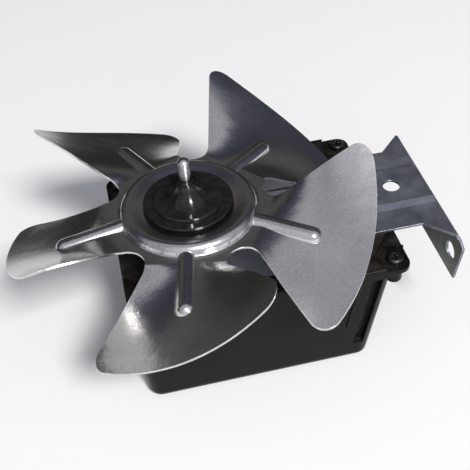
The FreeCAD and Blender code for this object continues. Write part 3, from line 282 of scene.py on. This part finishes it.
give(cast_metal("bearing_bronze", colour=(0.56, 0.38, 0.18), stain=(0.36, 0.24, 0.12), low=0.35, high=0.55,
                pore_scale=4200.0, depth=0.00005), "front_bearing", "rear_bearing")
give(cast_metal("die_cast", colour=(0.62, 0.62, 0.64), stain=(0.44, 0.44, 0.46), low=0.36, high=0.56,
                pore_scale=1500.0, depth=0.00010), "front_bearing_bracket", "rear_bearing_bracket")
give(cast_metal("cage_aluminium", colour=(0.70, 0.70, 0.71), stain=(0.52, 0.52, 0.53), low=0.34, high=0.50,
                pore_scale=1100.0, depth=0.00012), "rotor_cage")

WOOL = (0.62, 0.56, 0.44)
felt_finish, tree, shader, place = new_finish("felt", WOOL, 0.0, 0.95)
shader["Sheen Weight"].default_value = 0.4
oily = uneven(tree, place, scale=260.0, low=0.1, high=0.9)
tree.links.new(blended(tree, oily, WOOL, (0.34, 0.27, 0.17)), shader["Base Color"])
fibres = noise(tree, place, scale=3200.0, detail=6.0, roughness=0.8, distortion=1.5)
tree.links.new(raised(tree, fibres, depth=0.00025, strength=0.9), shader["Normal"])
give(felt_finish, "front_oil_felt", "rear_oil_felt")


# Screws: cold-headed steel with a cross recess, zinc plated inside and blackened where they hold the lid.
# The bearing retainers are pressed from sheet and plated like the inner screws.
EVEN_GRAIN = (900.0, 900.0, 900.0)
plated_finish = bare_metal("plated_steel", colour=(0.66, 0.66, 0.68), stain=(0.46, 0.45, 0.43), low=0.22,
                           high=0.42, grain=EVEN_GRAIN, depth=0.00003)
give(plated_finish, "motor_screws", "bracket_screws", "front_bearing_retainer", "rear_bearing_retainer")
give(bare_metal("blackened_steel", colour=(0.055, 0.052, 0.050), stain=(0.16, 0.155, 0.15), low=0.30,
                high=0.50, grain=EVEN_GRAIN, depth=0.00003), "lid_screws")


# Shaft and spacers: ground steel, with the faint rings that the grinding wheel leaves round it, and two
# brown phenolic sleeves that set the rotor's place between the bearings.
give(bare_metal("shaft_steel", colour=(0.70, 0.70, 0.71), stain=(0.56, 0.55, 0.54), low=0.12, high=0.24,
                grain=(60.0, 60.0, 5200.0), depth=0.00002), "rotor_shaft")
give(moulded_plastic("washer_plastic", colour=(0.30, 0.13, 0.05), rubbed=(0.42, 0.21, 0.10),
                     dust=(0.40, 0.30, 0.22), roughness=0.42, grain_scale=2000.0, grain_depth=0.00003,
                     dustiness=0.1, wear=0.3), "thrust_washers")


# Mounting bracket: steel strap, zinc plated before it was pressed and bent. The plating is bluish grey,
# lightly clouded and scratched, with bare edges painted light as a painted highlight. Painted shade darkens
# its faces that lean to the front and the inside of the end flange.
scored, start, end = new_group("fine_scratches", {"Turn": 0.5, "Amount": 1.0}, "Mask")
turned = add_node(scored, "VectorRotate", rotation_type="Z_AXIS")
scored.links.new(start["Place"], turned.inputs["Vector"])
scored.links.new(start["Turn"], turned.inputs["Angle"])
lengthwise = drawn_out(scored, turned.outputs["Vector"], (45.0, 1900.0, 300.0))
lines = stretch(scored, noise(scored, lengthwise, scale=1.0, detail=1.0), none_at=0.75, full_at=0.80)
scored.links.new(product(scored, lines, start["Amount"]), end)

ZINC = (0.52, 0.55, 0.63)
CLOUDED_ZINC = (0.40, 0.43, 0.49)
CRYSTAL_ZINC = (0.66, 0.69, 0.75)
SCRATCHED_ZINC = (0.82, 0.84, 0.88)
# Painted shade for the faces that lean to the front.
FRONT_SHADE_ZINC = (0.19, 0.205, 0.25)
# Painted shade for the inside face of the end flange.
FLANGE_SHADE_ZINC = (0.13, 0.145, 0.14)
# Bare steel at worn edges, lightened further as a painted highlight along them.
BARE_EDGE_AND_GLINT = (0.86, 0.87, 0.88)
bracket_finish, tree, shader, place = new_finish("bracket_steel", ZINC, 1.0, 0.30)
crystals = add_node(tree, "TexVoronoi", {"Scale": 320.0}, feature="F1")
tree.links.new(place, crystals.inputs["Vector"])
face = facing(tree)
clouds = uneven(tree, place, scale=26.0, low=0.0, high=0.75)
flecks = stretch(tree, crystals.outputs["Distance"], none_at=0.2, full_at=0.9, top=0.25)
scratches = use_group(tree, scored, place, Turn=0.3, Amount=0.5)
# Painted shade: faces whose normal leans to the front are darkened.
painted_front_shade = stretch(tree, face["Y"], none_at=-0.12, full_at=-0.36)
# Painted shade: the inside face of the end flange, whose normal points to -X, is darkened.
painted_flange_shade = stretch(tree, face["X"], none_at=-0.5, full_at=-0.9)
# Worn edges: bare steel, and a painted highlight along the edges.
edges = use_group(tree, worn, place, Width=0.0005, Scale=500.0, Amount=0.7)
zinc = blended(tree, clouds, ZINC, CLOUDED_ZINC)
zinc = blended(tree, flecks, zinc, CRYSTAL_ZINC)
zinc = blended(tree, scratches, zinc, SCRATCHED_ZINC)
zinc = blended(tree, painted_front_shade, zinc, FRONT_SHADE_ZINC)
zinc = blended(tree, painted_flange_shade, zinc, FLANGE_SHADE_ZINC)
zinc = blended(tree, edges, zinc, BARE_EDGE_AND_GLINT)
tree.links.new(zinc, shader["Base Color"])
tree.links.new(uneven(tree, place, scale=85.0, low=0.36, high=0.52), shader["Roughness"])
ripples = uneven(tree, place, scale=30.0, low=0.0, high=1.0)
pulled = raised(tree, ripples, depth=0.00020, strength=0.35, onto=softened(tree, 0.0003))
rolled = noise(tree, drawn_out(tree, place, (60.0, 1700.0, 1700.0)), scale=1.0, detail=3.0)
tree.links.new(raised(tree, rolled, depth=0.00003, strength=0.4, onto=pulled), shader["Normal"])
give(bracket_finish, "mounting_bracket")


# Hub: black moulded plastic, pressed on the shaft and headed over the fan's hole. Its mould was turned on a
# lathe, so fine rings round the shaft draw each glint out into a streak.
HUB_BLACK = (0.006, 0.006, 0.007)
hub_finish, tree, shader, place = new_finish("hub_plastic", HUB_BLACK, 0.0, 0.12)
shader["Specular IOR Level"].default_value = 0.4
shader["Coat Weight"].default_value = 0.15
shader["Coat Roughness"].default_value = 0.05
shader["Anisotropic"].default_value = 0.95
shader["Anisotropic Rotation"].default_value = 0.25
round_shaft = add_node(tree, "Tangent", direction_type="RADIAL", axis="Z")
tree.links.new(round_shaft.outputs["Tangent"], shader["Tangent"])
tree.links.new(uneven(tree, place, scale=140.0, low=0.15, high=0.21), shader["Roughness"])
lying = use_group(tree, settled, place, Scale=240.0, Amount=0.05)
tree.links.new(blended(tree, lying, HUB_BLACK, (0.3, 0.29, 0.27)), shader["Base Color"])
skin = noise(tree, place, scale=420.0, detail=2.0)
bumps = raised(tree, skin, depth=0.00004, strength=0.2, onto=softened(tree, 0.0003))
tree.links.new(bumps, shader["Normal"])
give(hub_finish, "fan_hub")


# Fan: one sheet of bright-rolled aluminium, stamped and bent in one stroke. The rolling left a fine grain
# in one direction and the pressing left slow ripples. The cut edges are bare, painted near white as a
# painted highlight.
ALUMINIUM = (0.65, 0.645, 0.64)
CLOUDED_ALUMINIUM = (0.46, 0.45, 0.45)
SPECK = (0.84, 0.84, 0.84)
# Bare cut edge, lightened as a painted highlight along the edges.
CUT_EDGE_AND_GLINT = (0.97, 0.97, 0.96)
DARK_SCRATCH = (0.36, 0.35, 0.36)
BRIGHT_SCRATCH = (0.90, 0.90, 0.90)
ROLLED_AT = 38.0
fan_finish, tree, shader, place = new_finish("fan_aluminium", ALUMINIUM, 1.0, 0.2)
clouds = uneven(tree, place, scale=26.0, low=0.0, high=0.75)
speckle = noise(tree, place, scale=1500.0, detail=3.0, roughness=0.7)
specks = stretch(tree, speckle, none_at=0.45, full_at=0.75, top=0.8)
dark_scratches = use_group(tree, scored, place, Turn=-0.6, Amount=0.7)
bright_scratches = use_group(tree, scored, place, Turn=0.9, Amount=0.7)
# Worn and cut edges painted near white: bare metal and a painted highlight.
edges = use_group(tree, worn, place, Width=0.0006, Scale=300.0, Amount=1.0)
sheet = blended(tree, clouds, ALUMINIUM, CLOUDED_ALUMINIUM)
sheet = blended(tree, specks, sheet, SPECK)
sheet = blended(tree, dark_scratches, sheet, DARK_SCRATCH)
sheet = blended(tree, bright_scratches, sheet, BRIGHT_SCRATCH)
sheet = blended(tree, edges, sheet, CUT_EDGE_AND_GLINT)
tree.links.new(sheet, shader["Base Color"])
tree.links.new(uneven(tree, place, scale=34.0, low=0.15, high=0.24), shader["Roughness"])
ripples = uneven(tree, place, scale=42.0, low=0.0, high=1.0)
pressed = raised(tree, ripples, depth=0.0002, strength=0.5, onto=softened(tree, 0.0003))
along = drawn_out(tree, place, (1500.0, 50.0, 50.0), ROLLED_AT)
rolled = noise(tree, along, scale=1.0, detail=4.0, roughness=0.65)
tree.links.new(raised(tree, rolled, depth=0.00003, strength=0.4, onto=pressed), shader["Normal"])
give(fan_finish, "fan_blades")


# Cable grommet: a soft black rubber bush with a groove round it. It is snapped into the hole of the back
# wall before the cable goes in.
give(moulded_plastic("grommet_rubber", colour=(0.018, 0.018, 0.018), rubbed=(0.05, 0.048, 0.046),
                     dust=(0.24, 0.22, 0.20), roughness=0.62, grain_scale=900.0, grain_depth=0.00008,
                     dustiness=0.3, wear=0.3), "cable_grommet")


# Studio: the housing stands on a pale floor that turns grey behind it, past the edge of the photograph's
# view. The sky is bright in front, where the photographer stands, and dim at the back, so the fan mirrors
# light on one side and dark on the other. One lamp, far off in front, draws the glints.
FLOOR_REACH = 12.0
PALE_BACK_TO = 0.42
GREY_BACK_FROM = 0.64
PALE = (0.93, 0.93, 0.93)
MOTTLED_PALE = (0.91, 0.91, 0.91)
GREY = (0.06, 0.06, 0.06)
bpy.ops.object.select_all(action="DESELECT")
bpy.ops.mesh.primitive_plane_add(size=2 * FLOOR_REACH)
floor = bpy.context.object
floor.name = "floor"
floor_finish, tree, shader, place = new_finish("floor", PALE, 0.0, 0.9)
shader["Specular IOR Level"].default_value = 0.1
parts = add_node(tree, "SeparateXYZ")
tree.links.new(place, parts.inputs["Vector"])
behind = add_node(tree, "MapRange", {"From Min": PALE_BACK_TO, "From Max": GREY_BACK_FROM},
                  interpolation_type="SMOOTHSTEP")
tree.links.new(parts.outputs["Y"], behind.inputs["Value"])
tone = blended(tree, uneven(tree, place, scale=3.0, low=0.0, high=1.0), PALE, MOTTLED_PALE)
tone = blended(tree, behind.outputs["Result"], tone, GREY)
tree.links.new(tone, shader["Base Color"])
floor.data.materials.append(floor_finish)

# The sky's colour goes by how far a direction points to the front: 1 straight there, -1 straight away.
SKY_FRONT_LIFT = math.radians(30.0)
SKY_FROM_FRONT = {-1.0: (0.03, 0.029, 0.028), -0.55: (0.03, 0.029, 0.028), -0.3: (0.12, 0.115, 0.11),
                  -0.1: (0.035, 0.037, 0.050), 0.20: (0.070, 0.073, 0.11), 0.31: (0.44, 0.44, 0.48),
                  0.45: (0.46, 0.46, 0.50), 0.60: (0.34, 0.34, 0.38), 0.75: (0.58, 0.58, 0.64),
                  1.0: (0.70, 0.70, 0.78)}
world = bpy.data.worlds.new("studio")
bpy.context.scene.world = world
world.use_nodes = True
tree = world.node_tree
to_front = add_node(tree, "VectorMath", operation="DOT_PRODUCT")
to_front.inputs[1].default_value = (0.0, -math.cos(SKY_FRONT_LIFT), math.sin(SKY_FRONT_LIFT))
tree.links.new(add_node(tree, "TexCoord").outputs["Generated"], to_front.inputs[0])
sky = add_node(tree, "ValToRGB")
ramp = sky.color_ramp.elements
while len(ramp) < len(SKY_FROM_FRONT):
    ramp.new(0.5)
for stop, (share, colour) in zip(ramp, SKY_FROM_FRONT.items()):
    stop.position = (share + 1.0) / 2
    stop.color = (*colour, 1.0)
tree.links.new(stretch(tree, to_front.outputs["Value"], none_at=-1.0, full_at=1.0), sky.inputs["Fac"])
tree.links.new(sky.outputs["Color"], tree.nodes["Background"].inputs["Color"])

KEY_AZIMUTH = math.radians(15.0)
KEY_ELEVATION = math.radians(48.0)
KEY_DISTANCE = 3.6
lamp = bpy.data.lights.new("key", "AREA")
lamp.size = 0.64
lamp.energy = 123.0
lamp.color = (1.0, 0.98, 0.95)
away = Vector((math.sin(KEY_AZIMUTH) * math.cos(KEY_ELEVATION),
               -math.cos(KEY_AZIMUTH) * math.cos(KEY_ELEVATION), math.sin(KEY_ELEVATION)))
key = bpy.data.objects.new("key", lamp)
key.location = away * KEY_DISTANCE
key.rotation_mode = "QUATERNION"
key.rotation_quaternion = away.to_track_quat("Z", "Y")
bpy.context.collection.objects.link(key)


# Viewpoint: the photograph was taken from close by, a little to the left and well above, with the camera
# slightly rolled. Its place is worked out from where the middle of the fan lies in the picture.
PHOTO_PIXELS = 470
FOCAL_PIXELS = 841.8
VIEW_AZIMUTH = math.radians(-9.545)
VIEW_ELEVATION = math.radians(43.26)
VIEW_ROLL = math.radians(4.383)
VIEW_DISTANCE = 0.3901
SENSOR_WIDTH = 36.0
FAN_CENTRE = Vector((0.0, 0.0, 0.0905))
FAN_CENTRE_PIXEL = (188.87, 207.79)
back = Vector((math.sin(VIEW_AZIMUTH) * math.cos(VIEW_ELEVATION),
               -math.cos(VIEW_AZIMUTH) * math.cos(VIEW_ELEVATION), math.sin(VIEW_ELEVATION)))
level_right = Vector((math.cos(VIEW_AZIMUTH), math.sin(VIEW_AZIMUTH), 0.0))
level_up = back.cross(level_right)
right = level_right * math.cos(VIEW_ROLL) - level_up * math.sin(VIEW_ROLL)
up = level_right * math.sin(VIEW_ROLL) + level_up * math.cos(VIEW_ROLL)
across = (FAN_CENTRE_PIXEL[0] - PHOTO_PIXELS / 2) / FOCAL_PIXELS * VIEW_DISTANCE
above = (PHOTO_PIXELS / 2 - FAN_CENTRE_PIXEL[1]) / FOCAL_PIXELS * VIEW_DISTANCE
camera = bpy.data.objects.new("camera", bpy.data.cameras.new("camera"))
bpy.context.collection.objects.link(camera)
camera.data.sensor_width = SENSOR_WIDTH
camera.data.lens = FOCAL_PIXELS / PHOTO_PIXELS * SENSOR_WIDTH
camera.data.clip_start = 0.01
camera.rotation_mode = "QUATERNION"
camera.rotation_quaternion = Matrix((right, up, back)).transposed().to_quaternion()
camera.location = FAN_CENTRE - right * across - up * above + back * VIEW_DISTANCE
bpy.context.scene.camera = camera
bpy.context.scene.view_settings.view_transform = "Standard"
